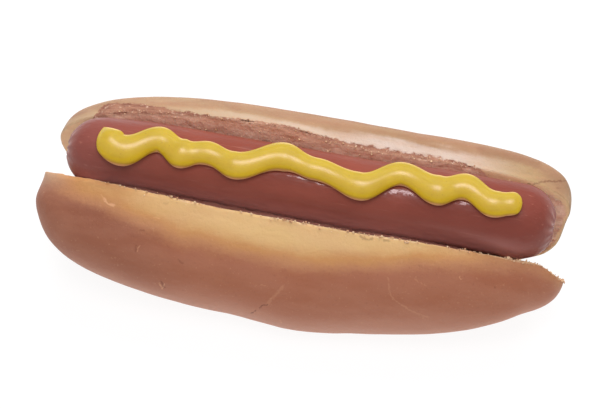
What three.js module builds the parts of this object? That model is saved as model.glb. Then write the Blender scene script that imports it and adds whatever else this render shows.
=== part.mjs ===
// Hot dog: a side-sliced bun that stands on its hinge and opens upwards, a frankfurter
// pressed into the cut, and one wavy bead of mustard along the frankfurter's top.
//
// Millimetres, +Z up, +X along the bun. The bun's fat domed half leans towards -Y and its
// thin flat-bottomed half towards +Y. Inside the functions the frankfurter lies along the
// X axis; the finished group is then moved so that the bun rests on z = 0.

import * as THREE from 'three';

// ---- the bun as baked: a loaf in the unfolded frame (x along, s across, n out of the cut) ----
const HALF_LENGTH = 79.5;         // from the middle to either end, along the cut edges
const HINGE_HALF_LENGTH = 64;     // the same along the hinge, where the loaf's ends round off
const LENGTH_REACH = 0.75;         // part of the loaf's width over which the length grows
const CUT_DEPTH = 35;             // from the cut edge down to the root of the cut
const HINGE_DEPTH = 12.5;         // crumb and crust left uncut under the root
const DOME_THICKNESS = 31;        // the upper half, from the cut to the top of its dome
const DOME_TAPER = 0.03;          // part by which it thins from the middle to the right end
const DOME_BELLY = { size: 1.7, middle: 0.03, reach: 0.28 };    // it is fuller here, by part of the
const DOME_WAIST = { size: -0.5, middle: 0.44, reach: 0.28 };     // half length, and thinner here
const FLAT_THICKNESS = 14.5;      // the lower half, from the cut to its flat bottom

// ---- the ends as they were torn from the next rolls: how much further than HALF_LENGTH they reach ----
const DOME_RIGHT_TIP = 6.5;       // the domed half's right tip
const DOME_LEFT_EDGE = -0.9;      // the left end of its cut edge
const DOME_LEFT_BULGE = { size: 2, start: 0, length: 9 };       // that end further from the cut
const DOME_LEFT_UNDERCUT = { size: -1.5, start: 8, length: 10 };
const FLAT_LEFT_BULGE = { size: 2.2, start: 0, length: 7 };     // the flat half, by height over the root
const FLAT_LEFT_UNDERCUT = { size: -2.2, start: 12, length: 14 };
const FLAT_RIGHT_BULGE = { size: 2.6, start: 0, length: 5 };
const FLAT_RIGHT_UNDERCUT = { size: -3.3, start: 6, length: 13 };

// ---- the flat half's side, which slants in to the cut edge from a third of the way along ----
const FLAT_SLANT = { size: 3.3, start: -0.12, length: 0.27 };
const SLANT_REACH = 7;            // how far from the cut the slant ends
const SLANT_START = 18;           // and the height over the root from which the cut face shortens
const SLANT_LENGTH = 15;

// ---- how round the loaf is: exponents of superellipses, 2 is an ellipse, more is boxier ----
const PLAN_DOME_LEFT = 6;
const PLAN_DOME_RIGHT = 2.4;
const PLAN_FLAT_LEFT = 2.6;
const PLAN_FLAT_RIGHT = 5.5;
const PLAN_HINGE_LEFT = 3;
const PLAN_HINGE_RIGHT = 2.6;
const DOME_ROUNDNESS = 2.7;
const DOME_ROUNDNESS_SLOPE = -0.7;   // the domed half is blunt on the left, pointed on the right
const FLAT_ROUNDNESS = 4.5;

// ---- how the bun is opened and how it rests ----
const ROOT = { y: 3, z: -25 };    // the root of the cut, below and behind the frankfurter's axis
const OPEN_DOME = 32.7;           // degrees that each half leans out from upright
const OPEN_FLAT = 18.5;
const FLAT_TWIST = 1.2;           // the flat half leans out this much more at its right end
const FLAT_RIGHT_LEAN = { size: 2.4, start: 0.3, length: 0.4 };  // and by this towards that end
const DOME_LEFT_SHUT = { size: -2.5, start: 0.25, length: 0.6 };  // the domed half's left end leans less
const DOME_RIGHT_SHUT = { size: -1.3, start: 0.2, length: 0.35 };  // and its right part too,
const DOME_RIGHT_DROOP = { size: 11.3, start: 0.84, length: 0.16 };  // up to its drooping tip
const FOLD_REACH = 0.6;           // part of the way round the root over which the crumb bends
const TABLE = -34;                // the table's height, below the frankfurter's axis
const REST_SOFTNESS = 2.2;        // half the band over which the crust flattens on the table

// ---- the frankfurter ----
const SAUSAGE = { left: -72.9, right: 75, leftRadius: 10.4, rightRadius: 11 };
const SAUSAGE_END = 12;           // length of each rounded end
const SAUSAGE_END_ROUNDNESS = 2.3;
const LEFT_BEND = { size: -1.5, start: 46, length: 22 };   // its ends bend towards -Y on the left
const RIGHT_BEND = { size: 1.3, start: 15, length: 30 };   // and towards +Y on the right
const PUCKER_DEPTH = 0.9;         // dimple where the casing was closed
const PUCKER_RADIUS = 2.4;
const GROOVE_GAP = 0.4;           // clearance between the frankfurter and the crumb
const GROOVE_SOFTNESS = 0.8;
const HUG_START = 2;              // this far down the cut the domed half's crumb turns in
const HUG_LENGTH = 6;             // and over this length it closes up to the frankfurter
const HUG_FADE_START = 0.6;       // where, as a part of the half length, the hug begins to fade
const HUG_FADE_LENGTH = 0.2;
const TROUGH_FLOOR = -11;         // under the frankfurter the two faces of the cut stay shut
const TROUGH_END_FLOOR = -30;     // and at the ends they part down to the root
const TROUGH_SOFTNESS = 4;
const TROUGH_END_START = 0.8;     // where that parting starts and how long it takes, as parts
const TROUGH_END_LENGTH = 0.18;   // of the half length

// ---- the mustard bead: each turn of its wave as x, degrees from the top towards -Y, width ----
const BEAD_TURNS = [
  [-61.2, -3.2, 8.8], [-53.9, 27.5, 8.8], [-43.7, 4.5, 7.4], [-36.5, 19, 8.4], [-29, 12, 6.7],
  [-20, 22, 7.7], [-6.5, -3, 8.5], [3.5, 7, 6.4], [17.5, 20, 7.8], [28.5, -6.9, 6.9],
  [40, 11, 8.5], [47.5, -0.8, 7.6], [56.5, 16.4, 7.4], [64.6, 9.4, 7.3],
];
const BEAD_NECK = 0.13;           // part by which the bead thins between two turns
const BEAD_HEIGHT_TO_WIDTH = 0.8; // before its underside is pressed flat
const BEAD_CENTRE_LIFT = 2;       // the bead's centre line above the frankfurter's skin
const BEAD_GAP = 0.35;            // clearance between the bead and the skin
const TIP_LENGTH = 5.5;           // the drawn-out tip at its start
const TAIL_LENGTH = 3.75;         // the round end at its finish

// ---- how finely each skin is divided ----
const BUN_STATIONS = 64;
const DOME_SEGMENTS = 17;
const FLAT_SEGMENTS = 14;
const FACE_SEGMENTS = 8;
const SAUSAGE_STATIONS = 40;
const SAUSAGE_SIDES = 30;
const BEAD_STATIONS = 132;
const BEAD_SIDES = 12;
const TAIL_STATIONS = 7;
const OUTLINE_SAMPLES = 4000;

const DOME_SIDE = 1;
const FLAT_SIDE = -1;
const DEGREE = Math.PI / 180;

// Eases from 0 to 1 with no slope at either end.
function ease(value) {
  const clipped = Math.min(Math.max(value, 0), 1);
  return clipped * clipped * (3 - 2 * clipped);
}

// A change that eases in from its start over its length and then keeps its full size.
function rise(value, { size, start, length }) {
  return size * ease((value - start) / length);
}

// A change that is full in its middle and eases out to nothing at its reach on both sides.
function swell(value, { size, middle, reach }) {
  return size * ease(1 - Math.abs(value - middle) / reach);
}

// Larger of the two values, blended over a band of the given half width.
function softMax(a, b, softness) {
  const difference = a - b;
  if (Math.abs(difference) >= softness) return Math.max(a, b);
  return b + (difference + softness) ** 2 / (4 * softness);
}

// Keeps the sign of a value while it is raised to a power.
function signedPower(value, power) {
  return Math.sign(value) * Math.abs(value) ** power;
}

// Exponent of the plan superellipse in the quadrant that holds (x, sigma).
function planExponent(side, x, sigma) {
  if (sigma < 0) return x < 0 ? PLAN_HINGE_LEFT : PLAN_HINGE_RIGHT;
  if (side === DOME_SIDE) return x < 0 ? PLAN_DOME_LEFT : PLAN_DOME_RIGHT;
  return x < 0 ? PLAN_FLAT_LEFT : PLAN_FLAT_RIGHT;
}

const PLAN_CENTRE = (CUT_DEPTH - HINGE_DEPTH) / 2;
const PLAN_HALF_WIDTH = (CUT_DEPTH + HINGE_DEPTH) / 2;

// Point of the plan outline at an angle, both coordinates from -1 to 1.
function planPoint(side, angle) {
  const cosine = Math.cos(angle);
  const sine = Math.sin(angle);
  const exponent = 2 / planExponent(side, cosine, sine);
  return new THREE.Vector2(signedPower(cosine, exponent), signedPower(sine, exponent));
}

// Points evenly spaced along the plan outline between two angles.
function evenOutline(side, startAngle, endAngle, count) {
  const samples = [];
  const lengths = [0];
  for (let i = 0; i <= OUTLINE_SAMPLES; i += 1) {
    samples.push(planPoint(side, startAngle + ((endAngle - startAngle) * i) / OUTLINE_SAMPLES));
    if (i === 0) continue;
    const along = (samples[i].x - samples[i - 1].x) * HALF_LENGTH;
    const across = (samples[i].y - samples[i - 1].y) * PLAN_HALF_WIDTH;
    lengths.push(lengths[i - 1] + Math.hypot(along, across));
  }
  const points = [];
  let j = 0;
  for (let i = 0; i <= count; i += 1) {
    const wanted = (lengths[OUTLINE_SAMPLES] * i) / count;
    while (j < OUTLINE_SAMPLES - 1 && lengths[j + 1] < wanted) j += 1;
    const part = (wanted - lengths[j]) / (lengths[j + 1] - lengths[j]);
    points.push(samples[j].clone().lerp(samples[j + 1], Math.min(part, 1)));
  }
  return points;
}

// Thickness of a half over a plan point: full in the middle, nothing at the outline.
function thickness(side, x, sigma) {
  const p = planExponent(side, x, sigma);
  const rho = Math.min((Math.abs(x) ** p + Math.abs(sigma) ** p) ** (1 / p), 1);
  const roundness = side === DOME_SIDE ? DOME_ROUNDNESS + DOME_ROUNDNESS_SLOPE * x : FLAT_ROUNDNESS;
  const dome = DOME_THICKNESS * (1 - DOME_TAPER * x) + swell(x, DOME_BELLY) + swell(x, DOME_WAIST);
  const full = side === DOME_SIDE ? dome : FLAT_THICKNESS;
  return full * (1 - rho ** roundness) ** (1 / roundness);
}

// How much further an end of a half reaches at a distance s from the root and n from the cut.
function endExtra(side, x, s, n) {
  if (side === DOME_SIDE) {
    const left = DOME_LEFT_EDGE + rise(n, DOME_LEFT_BULGE) + rise(n, DOME_LEFT_UNDERCUT);
    return (x > 0 ? DOME_RIGHT_TIP : left) * ease(s / CUT_DEPTH);
  }
  if (x > 0) return rise(s, FLAT_RIGHT_BULGE) + rise(s, FLAT_RIGHT_UNDERCUT);
  return rise(s, FLAT_LEFT_BULGE) + rise(s, FLAT_LEFT_UNDERCUT);
}

// Half length of the loaf at a distance s from the root: long at the cut edge, short at the hinge.
function halfLength(side, x, s, n) {
  const reach = ease((s + HINGE_DEPTH) / (CUT_DEPTH + HINGE_DEPTH) / LENGTH_REACH);
  const base = HINGE_HALF_LENGTH + (HALF_LENGTH - HINGE_HALF_LENGTH) * reach;
  return base + endExtra(side, x, s, n) * ease(Math.abs(x));
}

// Degrees that a half leans out at x, from -1 at the left end to 1 at the right.
function lean(side, x) {
  if (side === FLAT_SIDE) return OPEN_FLAT + FLAT_TWIST * x + rise(x, FLAT_RIGHT_LEAN);
  return OPEN_DOME + rise(-x, DOME_LEFT_SHUT) + rise(x, DOME_RIGHT_SHUT) + rise(x, DOME_RIGHT_DROOP);
}

// How far the flat half's side slants in at x, a distance s from the root and n from the cut.
function slant(side, x, s, n) {
  if (side === DOME_SIDE) return 0;
  return rise(x, FLAT_SLANT) * ease((s - SLANT_START) / SLANT_LENGTH) * (1 - ease(n / SLANT_REACH));
}

// Place of a point of the unfolded loaf once the bun is opened: it turns about the root by
// its half's lean, eased in round the hinge, and the crust is flattened on the table.
function fold(side, x, s, n) {
  const height = s - slant(side, x, s, n);
  const radius = Math.hypot(height, n);
  const around = Math.atan2(n, -height);
  const turned = around - lean(side, x) * DEGREE * ease(around / Math.PI / FOLD_REACH);
  const y = ROOT.y - side * radius * Math.sin(turned);
  const z = ROOT.z - radius * Math.cos(turned);
  return new THREE.Vector3(halfLength(side, x, s, n) * x, y, softMax(z, TABLE, REST_SOFTNESS));
}

// Radius of the frankfurter at x: nearly straight sides, rounded ends.
function sausageRadius(x) {
  if (x <= SAUSAGE.left || x >= SAUSAGE.right) return 0;
  const along = (x - SAUSAGE.left) / (SAUSAGE.right - SAUSAGE.left);
  const side = SAUSAGE.leftRadius + (SAUSAGE.rightRadius - SAUSAGE.leftRadius) * ease(along);
  const inset = Math.min(x - SAUSAGE.left, SAUSAGE.right - x);
  const end = Math.max(1 - inset / SAUSAGE_END, 0);
  return side * (1 - end ** SAUSAGE_END_ROUNDNESS) ** (1 / SAUSAGE_END_ROUNDNESS);
}

// How far the bent frankfurter's middle line lies from the X axis, towards +Y.
function bend(x) {
  return rise(-x, LEFT_BEND) + rise(x, RIGHT_BEND);
}

// Moves a point away from the frankfurter's middle line until it lies at a distance that is
// given by its present one.
function pushOut(point, wantedDistance) {
  const middle = bend(point.x);
  const distance = Math.hypot(point.y - middle, point.z);
  const push = wantedDistance(distance) / distance;
  return new THREE.Vector3(point.x, middle + (point.y - middle) * push, point.z * push);
}

// How far the two faces of the cut have parted at x, in the last stretch before each end.
function parting(x) {
  return ease((Math.abs(x) - TROUGH_END_START) / TROUGH_END_LENGTH);
}

// How far the domed half's crumb has closed up to the frankfurter, a depth down the cut at x.
function hugging(x, depth) {
  const faded = ease((Math.abs(x) - HUG_FADE_START) / HUG_FADE_LENGTH);
  return ease((depth - HUG_START) / HUG_LENGTH) * (1 - faded);
}

// Lifts the root of the cut to the floor of the trough, which falls away at the ends.
function fillTrough(point, x) {
  const floor = THREE.MathUtils.lerp(TROUGH_FLOOR, TROUGH_END_FLOOR, parting(x));
  return new THREE.Vector3(point.x, point.y, softMax(point.z, floor, TROUGH_SOFTNESS));
}

// Presses a point of the cut face out of the frankfurter's way, into a groove. By its hug, from
// 0 to 1, a point that lies clear of the groove is drawn in to it.
function pressGroove(point, hug) {
  const radius = sausageRadius(point.x);
  if (radius === 0) return point;
  const clear = radius + GROOVE_GAP;
  return pushOut(point, (distance) => {
    const pressed = softMax(distance, clear, GROOVE_SOFTNESS);
    return THREE.MathUtils.lerp(pressed, Math.min(pressed, clear), hug);
  });
}

// Cosine spacing, which gathers points at both ends of a span.
function gathered(i, count) {
  return (1 - Math.cos((Math.PI * i) / count)) / 2;
}

// Points over the outside of one half, from its cut edge to the hinge line.
function outsideRow(side, edge, hinge, count) {
  const row = [];
  for (let i = 0; i <= count; i += 1) {
    const chord = edge.clone().lerp(hinge, gathered(i, count));
    const s = PLAN_CENTRE + PLAN_HALF_WIDTH * chord.y;
    row.push(fold(side, chord.x, s, thickness(side, chord.x, chord.y)));
  }
  return row;
}

// Points over the cut face of one half, from its cut edge to the root of the cut.
function faceRow(side, edge, rootX, count) {
  const row = [];
  const depth = PLAN_CENTRE + PLAN_HALF_WIDTH * edge.y;
  for (let i = 0; i <= count; i += 1) {
    const part = i / count;
    const x = THREE.MathUtils.lerp(edge.x, rootX, part);
    const hug = side === DOME_SIDE ? hugging(x, depth * part) : 0;
    row.push(pressGroove(fillTrough(fold(side, x, depth * (1 - part), 0), x), hug));
  }
  return row;
}

// Closed skin over rings of points, each end drawn together in one point.
function closedSkin(firstPole, rings, lastPole) {
  const sides = rings[0].length;
  const points = [firstPole, ...rings.flat(), lastPole];
  const faces = [];
  for (let k = 0; k < sides; k += 1) {
    const next = (k + 1) % sides;
    faces.push(0, 1 + next, 1 + k);
    for (let ring = 0; ring < rings.length - 1; ring += 1) {
      const here = 1 + ring * sides;
      const there = here + sides;
      faces.push(here + k, here + next, there + next);
      faces.push(here + k, there + next, there + k);
    }
    const last = 1 + (rings.length - 1) * sides;
    faces.push(last + k, last + next, points.length - 1);
  }
  const geometry = new THREE.BufferGeometry();
  geometry.setFromPoints(points);
  geometry.setIndex(faces);
  geometry.computeVertexNormals();
  return geometry;
}

// The bun: two halves and their hinge in one skin, ring by ring from the left end to the right.
function bunGeometry() {
  const rootSine = PLAN_CENTRE / PLAN_HALF_WIDTH;
  const leftRoot = Math.PI + Math.asin(rootSine ** (PLAN_HINGE_LEFT / 2));
  const rightRoot = -Math.asin(rootSine ** (PLAN_HINGE_RIGHT / 2));
  const domeEdge = evenOutline(DOME_SIDE, leftRoot, rightRoot, BUN_STATIONS);
  const flatEdge = evenOutline(FLAT_SIDE, leftRoot, rightRoot, BUN_STATIONS);
  const hinge = evenOutline(DOME_SIDE, leftRoot, 2 * Math.PI + rightRoot, BUN_STATIONS);
  const rings = [];
  for (let i = 1; i < BUN_STATIONS; i += 1) {
    const rootX = THREE.MathUtils.lerp(domeEdge[0].x, domeEdge[BUN_STATIONS].x, i / BUN_STATIONS);
    const dome = outsideRow(DOME_SIDE, domeEdge[i], hinge[i], DOME_SEGMENTS);
    const flat = outsideRow(FLAT_SIDE, flatEdge[i], hinge[i], FLAT_SEGMENTS).reverse();
    const flatFace = faceRow(FLAT_SIDE, flatEdge[i], rootX, FACE_SEGMENTS);
    const domeFace = faceRow(DOME_SIDE, domeEdge[i], rootX, FACE_SEGMENTS).reverse();
    rings.push([...dome, ...flat.slice(1), ...flatFace.slice(1), ...domeFace.slice(1, -1)]);
  }
  const leftPole = fold(DOME_SIDE, domeEdge[0].x, 0, 0);
  const rightPole = fold(DOME_SIDE, domeEdge[BUN_STATIONS].x, 0, 0);
  return closedSkin(leftPole, rings, rightPole);
}

// The frankfurter: a round link whose ends are rounded and dimpled where they were closed.
function sausageGeometry() {
  const dimple = (radius) => PUCKER_DEPTH * Math.exp(-((radius / PUCKER_RADIUS) ** 2));
  const rings = [];
  for (let i = 1; i < SAUSAGE_STATIONS; i += 1) {
    const x = THREE.MathUtils.lerp(SAUSAGE.left, SAUSAGE.right, gathered(i, SAUSAGE_STATIONS));
    const radius = sausageRadius(x);
    const drawnIn = x < 0 ? dimple(radius) : -dimple(radius);
    const ring = [];
    for (let k = 0; k < SAUSAGE_SIDES; k += 1) {
      const angle = (2 * Math.PI * k) / SAUSAGE_SIDES;
      const y = bend(x) + radius * Math.cos(angle);
      ring.push(new THREE.Vector3(x + drawnIn, y, radius * Math.sin(angle)));
    }
    rings.push(ring);
  }
  const leftPole = new THREE.Vector3(SAUSAGE.left + PUCKER_DEPTH, bend(SAUSAGE.left), 0);
  const rightPole = new THREE.Vector3(SAUSAGE.right - PUCKER_DEPTH, bend(SAUSAGE.right), 0);
  return closedSkin(leftPole, rings, rightPole);
}

// Point at a height over the frankfurter's skin, an angle from the top and a place along it.
function overSkin(x, angle, height) {
  const radius = sausageRadius(x) + height;
  return new THREE.Vector3(x, bend(x) - radius * Math.sin(angle), radius * Math.cos(angle));
}

// The bead's wave at x: its angle from the top and its width. It levels out at every turn and
// thins a little between two turns; its first stretch is drawn down from the tip in a curve.
function beadWave(x) {
  let turn = 0;
  while (turn < BEAD_TURNS.length - 2 && x >= BEAD_TURNS[turn + 1][0]) turn += 1;
  const [startX, startDegrees, startWidth] = BEAD_TURNS[turn];
  const [endX, endDegrees, endWidth] = BEAD_TURNS[turn + 1];
  const part = (x - startX) / (endX - startX);
  const bend = turn === 0 ? 1 - (1 - part) ** 2 : ease(part);
  const neck = turn === 0 ? 0 : BEAD_NECK * Math.sin(Math.PI * part) ** 2;
  const angle = THREE.MathUtils.lerp(startDegrees, endDegrees, bend) * DEGREE;
  return { angle, width: THREE.MathUtils.lerp(startWidth, endWidth, ease(part)) * (1 - neck) };
}

// How far the bead's section has closed towards the tip and the tail, 1 along its body.
function beadClosing(distance, length) {
  const tip = Math.min(distance / TIP_LENGTH, 1);
  const tail = Math.min((length - distance) / TAIL_LENGTH, 1);
  return Math.sin((tip * Math.PI) / 2) * Math.sqrt(1 - (1 - tail) ** 2);
}

// One ring of the bead round a point of its path: an ellipse whose underside is pressed
// against the skin.
function beadRing(centre, along, width) {
  const outward = new THREE.Vector3(0, centre.y - bend(centre.x), centre.z).normalize();
  const sideways = new THREE.Vector3().crossVectors(outward, along).normalize();
  const ring = [];
  for (let k = 0; k < BEAD_SIDES; k += 1) {
    const angle = (2 * Math.PI * k) / BEAD_SIDES;
    const point = centre.clone();
    point.addScaledVector(sideways, (width / 2) * Math.cos(angle));
    point.addScaledVector(outward, (width / 2) * BEAD_HEIGHT_TO_WIDTH * Math.sin(angle));
    ring.push(liftOffSkin(point));
  }
  return ring;
}

// Moves a point out until it clears the frankfurter's skin.
function liftOffSkin(point) {
  const clear = sausageRadius(point.x) + BEAD_GAP;
  return pushOut(point, (distance) => Math.max(distance, clear));
}

// The mustard: a bead carried along a smooth wave that lies on the frankfurter.
function mustardGeometry() {
  const firstX = BEAD_TURNS[0][0];
  const lastX = BEAD_TURNS[BEAD_TURNS.length - 1][0];
  const path = [];
  const widths = [];
  const lengths = [0];
  for (let i = 0; i <= OUTLINE_SAMPLES; i += 1) {
    const x = THREE.MathUtils.lerp(firstX, lastX, i / OUTLINE_SAMPLES);
    const wave = beadWave(x);
    path.push(overSkin(x, wave.angle, BEAD_CENTRE_LIFT));
    widths.push(wave.width);
    if (i > 0) lengths.push(lengths[i - 1] + path[i].distanceTo(path[i - 1]));
  }
  const length = lengths[OUTLINE_SAMPLES];
  const rings = [];
  let j = 1;
  for (let i = 1; i < BEAD_STATIONS; i += 1) {
    const distance = beadSpacing(i / BEAD_STATIONS, length);
    while (lengths[j] < distance) j += 1;
    const along = path[j].clone().sub(path[j - 1]);
    rings.push(beadRing(path[j], along, widths[j] * beadClosing(distance, length)));
  }
  return closedSkin(liftOffSkin(path[0]), rings, liftOffSkin(path[OUTLINE_SAMPLES]));
}

// Distance along the bead of each ring: even, but closer together at the tail's round end.
function beadSpacing(part, length) {
  const body = length - TAIL_LENGTH;
  const tailShare = TAIL_STATIONS / BEAD_STATIONS;
  if (part < 1 - tailShare) return (body * part) / (1 - tailShare);
  const tail = (part - 1 + tailShare) / tailShare;
  return body + TAIL_LENGTH * Math.sin((tail * Math.PI) / 2);
}

// A named piece with its own finish.
function piece(name, geometry, color, roughness) {
  const material = new THREE.MeshStandardMaterial({ color, roughness, metalness: 0 });
  const mesh = new THREE.Mesh(geometry, material);
  mesh.name = name;
  return mesh;
}

const hotDog = new THREE.Group();
hotDog.add(piece('bun', bunGeometry(), '#c4946a', 0.7));
hotDog.add(piece('sausage', sausageGeometry(), '#8c4a3c', 0.35));
hotDog.add(piece('mustard', mustardGeometry(), '#dcb845', 0.3));

// The origin goes under the middle of the whole, on the table.
const bounds = new THREE.Box3().setFromObject(hotDog);
const middle = bounds.getCenter(new THREE.Vector3());
hotDog.position.set(-middle.x, -middle.y, -bounds.min.z);

export default hotDog;
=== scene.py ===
"""Hot dog: a side-sliced bun opened upwards, a frankfurter pressed into it and a wave of mustard.

Shapes are worked out in millimetres with the frankfurter's axis as the X axis, and go into
their meshes in metres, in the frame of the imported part.
"""

import functools
import itertools
import math

import bpy
import numpy as np
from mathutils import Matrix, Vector


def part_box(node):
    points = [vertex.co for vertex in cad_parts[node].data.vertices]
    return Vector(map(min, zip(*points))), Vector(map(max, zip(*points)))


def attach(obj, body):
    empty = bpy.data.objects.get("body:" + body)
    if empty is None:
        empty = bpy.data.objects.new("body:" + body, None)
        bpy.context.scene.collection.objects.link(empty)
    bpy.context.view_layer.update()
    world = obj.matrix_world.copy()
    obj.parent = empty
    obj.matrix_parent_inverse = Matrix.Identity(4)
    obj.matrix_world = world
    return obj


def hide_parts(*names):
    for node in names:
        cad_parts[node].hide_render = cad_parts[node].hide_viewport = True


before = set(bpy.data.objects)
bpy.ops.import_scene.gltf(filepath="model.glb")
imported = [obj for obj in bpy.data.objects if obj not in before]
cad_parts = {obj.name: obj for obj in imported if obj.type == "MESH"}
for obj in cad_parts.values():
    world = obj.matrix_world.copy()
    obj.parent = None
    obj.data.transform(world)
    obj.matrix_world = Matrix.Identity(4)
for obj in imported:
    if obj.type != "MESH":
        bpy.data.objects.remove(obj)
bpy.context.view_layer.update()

# --------------------------------
# The studio: a white table under three soft boxes, with white walls all round that fill the
# shade. Only the top box shows in gloss. The camera looks down on the bun's open side with a
# long lens.
IMAGE_WIDTH, FOCAL_PIXELS = 614, 2211.0
SENSOR_WIDTH = 36.0  # mm
CAMERA_AZIMUTH = math.radians(12.4)
CAMERA_ELEVATION = math.radians(56.0)
CAMERA_DISTANCE, CAMERA_REACH = 0.66, 20.0
AIM_X = 0.0002  # m, how far to the right of the part's middle the camera aims
AXIS_ABOVE_CENTRE = 18.5  # pixels from the image's centre up to the frankfurter's axis
AXIS_BEFORE_BOX_MIDDLE = 0.00033  # its ends bend, so the middle of its box lies behind its axis
WHITE = (1.0, 1.0, 1.0)
BLUSH = (1.0, 0.84, 0.89)
ROOM_LIGHT = 0.34

sausage_low, sausage_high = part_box("sausage")
bun_low, bun_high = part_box("bun")
axis_y = (sausage_low.y + sausage_high.y) / 2 - AXIS_BEFORE_BOX_MIDDLE
axis_z = (sausage_low.z + sausage_high.z) / 2
axis_point = Vector((AIM_X, axis_y, axis_z))

backwards = Vector((
    math.sin(CAMERA_AZIMUTH) * math.cos(CAMERA_ELEVATION),
    -math.cos(CAMERA_AZIMUTH) * math.cos(CAMERA_ELEVATION),
    math.sin(CAMERA_ELEVATION),
))


def add_object(name, data):
    """Puts a camera, a lamp or a mesh in the scene as an object."""
    made = bpy.data.objects.new(name, data)
    bpy.context.scene.collection.objects.link(made)
    return made


camera = add_object("camera", bpy.data.cameras.new("camera"))
camera.data.sensor_width = SENSOR_WIDTH
camera.data.lens = SENSOR_WIDTH * FOCAL_PIXELS / IMAGE_WIDTH
camera.data.shift_y = -AXIS_ABOVE_CENTRE / IMAGE_WIDTH
camera.data.clip_end = CAMERA_REACH
camera.location = axis_point + CAMERA_DISTANCE * backwards
camera.rotation_euler = backwards.to_track_quat("Z", "Y").to_euler()
bpy.context.scene.camera = camera
bpy.context.scene.view_settings.view_transform = "Standard"

world = bpy.data.worlds.new("white room")
world.use_nodes = True
background = world.node_tree.nodes["Background"]
background.inputs["Color"].default_value = (*WHITE, 1.0)
background.inputs["Strength"].default_value = ROOM_LIGHT
bpy.context.scene.world = world


def soft_box(name, place, width, depth, power, colour=WHITE, in_gloss=False):
    """A rectangular area light, sized and placed in metres, turned towards the frankfurter."""
    lamp = bpy.data.lights.new(name, "AREA")
    lamp.shape = "RECTANGLE"
    lamp.size = width
    lamp.size_y = depth
    lamp.energy = power
    lamp.color = colour
    light = add_object(name, lamp)
    light.location = Vector(place)
    light.rotation_euler = (Vector(place) - axis_point).to_track_quat("Z", "Y").to_euler()
    light.visible_glossy = in_gloss


soft_box("front soft box", (0.0, -0.24, 0.72), 0.5, 0.16, 1.05)
soft_box("top soft box", (0.0, -0.08, 0.7), 0.34, 0.2, 1.1, colour=BLUSH, in_gloss=True)
soft_box("back soft box", (0.0, 0.42, 0.52), 0.6, 0.4, 3.2)

TABLE_REACH, TABLE_DROP = 6.0, 0.0003
TABLE_GREY, TABLE_GLOW = 0.15, 0.9
table_corners = [(x * TABLE_REACH, y * TABLE_REACH, -TABLE_DROP)
                 for x, y in ((-1, -1), (1, -1), (1, 1), (-1, 1))]
table_mesh = bpy.data.meshes.new("table")
table_mesh.from_pydata(table_corners, [], [(0, 1, 2, 3)])
table = add_object("table", table_mesh)
table_paint = bpy.data.materials.new("white table")
table_paint.use_nodes = True
table_shader = table_paint.node_tree.nodes["Principled BSDF"]
table_shader.inputs["Base Color"].default_value = (TABLE_GREY, TABLE_GREY, TABLE_GREY, 1.0)
table_shader.inputs["Roughness"].default_value = 0.9
table_shader.inputs["Specular IOR Level"].default_value = 0.0
table_shader.inputs["Emission Color"].default_value = (*WHITE, 1.0)
table_shader.inputs["Emission Strength"].default_value = TABLE_GLOW
table_mesh.materials.append(table_paint)

# --------------------------------
# The bun: one soft white roll, baked touching its neighbours, so that the sides where they were
# pulled apart are pale, the dome is brown and the bottom flat. It is sliced from one side,
# opened about the uncut hinge and stood on it.
DOME, FLAT = 1, -1
HALF_LENGTH, HINGE_HALF_LENGTH, LENGTH_REACH = 79.5, 64.0, 0.75
CUT_DEPTH, HINGE_DEPTH = 35.0, 12.5
DOME_THICKNESS, DOME_TAPER, FLAT_THICKNESS = 31.0, 0.03, 14.5
DOME_BELLY, DOME_WAIST = (1.7, 0.03, 0.28), (-0.5, 0.44, 0.28)  # size, middle and reach along x
DOME_RIGHT_TIP, DOME_LEFT_EDGE = 6.5, -0.9  # how much further the ends reach
DOME_LEFT_BULGE, DOME_LEFT_UNDERCUT = (2, 0, 9), (-1.5, 8, 10)  # size, start and length
FLAT_LEFT_BULGE, FLAT_LEFT_UNDERCUT = (2.2, 0, 7), (-2.2, 12, 14)
FLAT_RIGHT_BULGE, FLAT_RIGHT_UNDERCUT = (2.6, 0, 5), (-3.3, 6, 13)
FLAT_SLANT = (3.3, -0.12, 0.27)
SLANT_REACH, SLANT_START, SLANT_LENGTH = 7.0, 18.0, 15.0
PLAN_DOME, PLAN_FLAT, PLAN_HINGE = (6, 2.4), (2.6, 5.5), (3, 2.6)  # left and right exponents
DOME_ROUNDNESS, DOME_ROUNDNESS_SLOPE, FLAT_ROUNDNESS = 2.7, -0.7, 4.5
ROOT_Y, ROOT_Z = 3.0, -25.0
OPEN_DOME, OPEN_FLAT, FLAT_TWIST = 32.7, 18.5, 1.2
FLAT_RIGHT_LEAN, DOME_LEFT_SHUT = (2.4, 0.3, 0.4), (-2.5, 0.25, 0.6)
DOME_RIGHT_SHUT, DOME_RIGHT_DROOP = (-1.3, 0.2, 0.35), (11.3, 0.84, 0.16)
FOLD_REACH = 0.6
TABLE_HEIGHT, REST_SOFTNESS = -34.0, 2.2
GROOVE_GAP, GROOVE_SOFTNESS = 0.4, 0.8
HUG, HUG_FADE = (1, 2, 6), (1, 0.6, 0.2)
TROUGH_FLOOR, TROUGH_END_DROP, TROUGH_SOFTNESS = -11.0, (-19, 0.8, 0.18), 4.0
SAUSAGE_LEFT, SAUSAGE_RIGHT = -72.9, 75.0
SAUSAGE_LEFT_RADIUS, SAUSAGE_RIGHT_RADIUS = 10.4, 11.0
SAUSAGE_END, SAUSAGE_END_ROUNDNESS = 12.0, 2.3
LEFT_BEND, RIGHT_BEND = (-1.5, 46, 22), (1.3, 15, 30)
PLAN_CENTRE = (CUT_DEPTH - HINGE_DEPTH) / 2
PLAN_HALF_WIDTH = (CUT_DEPTH + HINGE_DEPTH) / 2
BUN_STATIONS, DOME_STEPS, FLAT_STEPS, FACE_STEPS = 450, 94, 62, 28
OUTLINE_SAMPLES = 8000
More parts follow.
